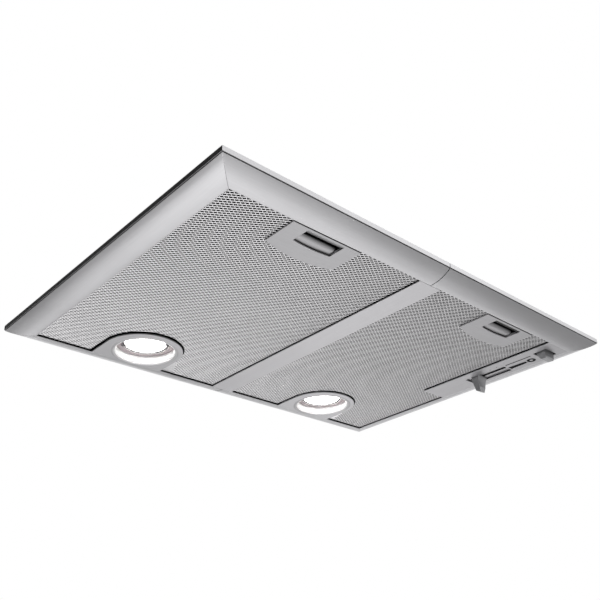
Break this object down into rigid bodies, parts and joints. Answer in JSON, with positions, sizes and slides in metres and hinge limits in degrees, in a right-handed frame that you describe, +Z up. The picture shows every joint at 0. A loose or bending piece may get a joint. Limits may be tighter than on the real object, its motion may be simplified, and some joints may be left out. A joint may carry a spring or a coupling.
{
  "type": "under cabinet range hood",
  "caption": "Built-in range hood for under a wall cabinet: flat panel with curved steel border, swing-down mesh filters, round lamps, slider controls and a ducted blower housing.",
  "frame": {"origin": "Centre of the four cabinet screw holes, on the upper face of the base frame, which seats against the underside of the cabinet round the cut-out.", "axes": "+Z up into the cabinet and along the outlet duct, -Y towards the person who cooks, +X to the right as that person sees it, where the slider controls are."},
  "size_m": [0.53, 0.38, 0.2551],
  "materials": {
    "satin_steel": "satin",
    "filter_mesh": "satin",
    "filter_frame": "satin",
    "filter_core": "matte",
    "spring_steel": "satin",
    "galvanised_sheet": "spangled satin",
    "zinc_steel": "satin",
    "slider_metallic": "metallic satin",
    "black_plastic": "matte",
    "white_plastic": "satin",
    "lamp_glass": "frosted",
    "ivory_ceramic": "matte",
    "flap_plastic": "matte",
    "scroll_plastic": "matte",
    "wheel_plastic": "matte",
    "motor_paint": "satin",
    "rubber": "matte",
    "capacitor_plastic": "gloss"
  },
  "bodies": {
    "hood": {"base_frame": "galvanised_sheet", "divider_bar": "satin_steel", "trim_left": "satin_steel", "trim_right": "satin_steel", "trim_front_left": "satin_steel", "trim_front_right": "satin_steel", "trim_rear_left": "satin_steel", "trim_rear_right": "satin_steel", "sheet_screws": "zinc_steel", "housing_front": "galvanised_sheet", "housing_back": "galvanised_sheet", "housing_left": "galvanised_sheet", "housing_right": "galvanised_sheet", "housing_top": "galvanised_sheet", "control_plate": "satin_steel", "fan_switch": "black_plastic", "light_switch": "black_plastic", "lamp_surround_left": "satin_steel", "lamp_reflector_left": "white_plastic", "bulb_left": "lamp_glass", "lampholder_left": "ivory_ceramic", "lamp_bracket_left": "galvanised_sheet", "lamp_surround_right": "satin_steel", "lamp_reflector_right": "white_plastic", "bulb_right": "lamp_glass", "lampholder_right": "ivory_ceramic", "lamp_bracket_right": "galvanised_sheet", "outlet_collar": "black_plastic", "damper_pin": "zinc_steel", "scroll_left": "scroll_plastic", "scroll_right": "scroll_plastic", "inlet_ring_left": "scroll_plastic", "inlet_ring_right": "scroll_plastic", "motor": "motor_paint", "motor_bracket": "galvanised_sheet", "motor_bushes": "rubber", "machine_screws": "zinc_steel", "capacitor": "capacitor_plastic", "terminal_box": "black_plastic", "cable_gland": "black_plastic"},
    "filter_left": {"filter_frame_left": "filter_frame", "filter_mesh_left": "filter_mesh", "filter_core_left": "filter_core", "filter_back_left": "filter_mesh", "filter_handle_left": "satin_steel", "latch_spring_left": "spring_steel"},
    "filter_right": {"filter_frame_right": "filter_frame", "filter_mesh_right": "filter_mesh", "filter_core_right": "filter_core", "filter_back_right": "filter_mesh", "filter_handle_right": "satin_steel", "latch_spring_right": "spring_steel"},
    "latch_left": {"latch_left": "satin_steel"},
    "latch_right": {"latch_right": "satin_steel"},
    "fan_slider": {"fan_slider": "slider_metallic"},
    "light_slider": {"light_slider": "slider_metallic"},
    "fan": {"fan_wheel": "wheel_plastic", "motor_shaft": "zinc_steel"},
    "damper_front": {"damper_front": "flap_plastic"},
    "damper_rear": {"damper_rear": "flap_plastic"}
  },
  "joints": [
    {"name": "filter_left_swing", "type": "hinge", "parent": "hood", "child": "filter_left", "pos_m": [0, 0.165, -0.0113], "axis": [1, 0, 0], "range_deg": [0, 60]},
    {"name": "filter_right_swing", "type": "hinge", "parent": "hood", "child": "filter_right", "pos_m": [0, 0.165, -0.0113], "axis": [1, 0, 0], "range_deg": [0, 60]},
    {"name": "latch_left_push", "type": "slide", "parent": "filter_left", "child": "latch_left", "axis": [0, 1, 0], "range_m": [0, 0.005], "stiffness_N_per_m": 600, "springref_m": -0.002, "deforming": ["latch_spring_left"]},
    {"name": "latch_right_push", "type": "slide", "parent": "filter_right", "child": "latch_right", "axis": [0, 1, 0], "range_m": [0, 0.005], "stiffness_N_per_m": 600, "springref_m": -0.002, "deforming": ["latch_spring_right"]},
    {"name": "fan_slider_travel", "type": "slide", "parent": "hood", "child": "fan_slider", "axis": [0, -1, 0], "range_m": [0, 0.0285]},
    {"name": "light_slider_travel", "type": "slide", "parent": "hood", "child": "light_slider", "axis": [0, 1, 0], "range_m": [0, 0.0025]},
    {"name": "fan_spin", "type": "hinge", "parent": "hood", "child": "fan", "pos_m": [0, 0.106, 0.09], "axis": [1, 0, 0], "continuous": true},
    {"name": "damper_front_swing", "type": "hinge", "parent": "hood", "child": "damper_front", "pos_m": [0, 0.088, 0.2006], "axis": [-1, 0, 0], "range_deg": [0, 75]},
    {"name": "damper_rear_swing", "type": "hinge", "parent": "hood", "child": "damper_rear", "pos_m": [0, 0.088, 0.2006], "axis": [1, 0, 0], "range_deg": [0, 75]}
  ]
}
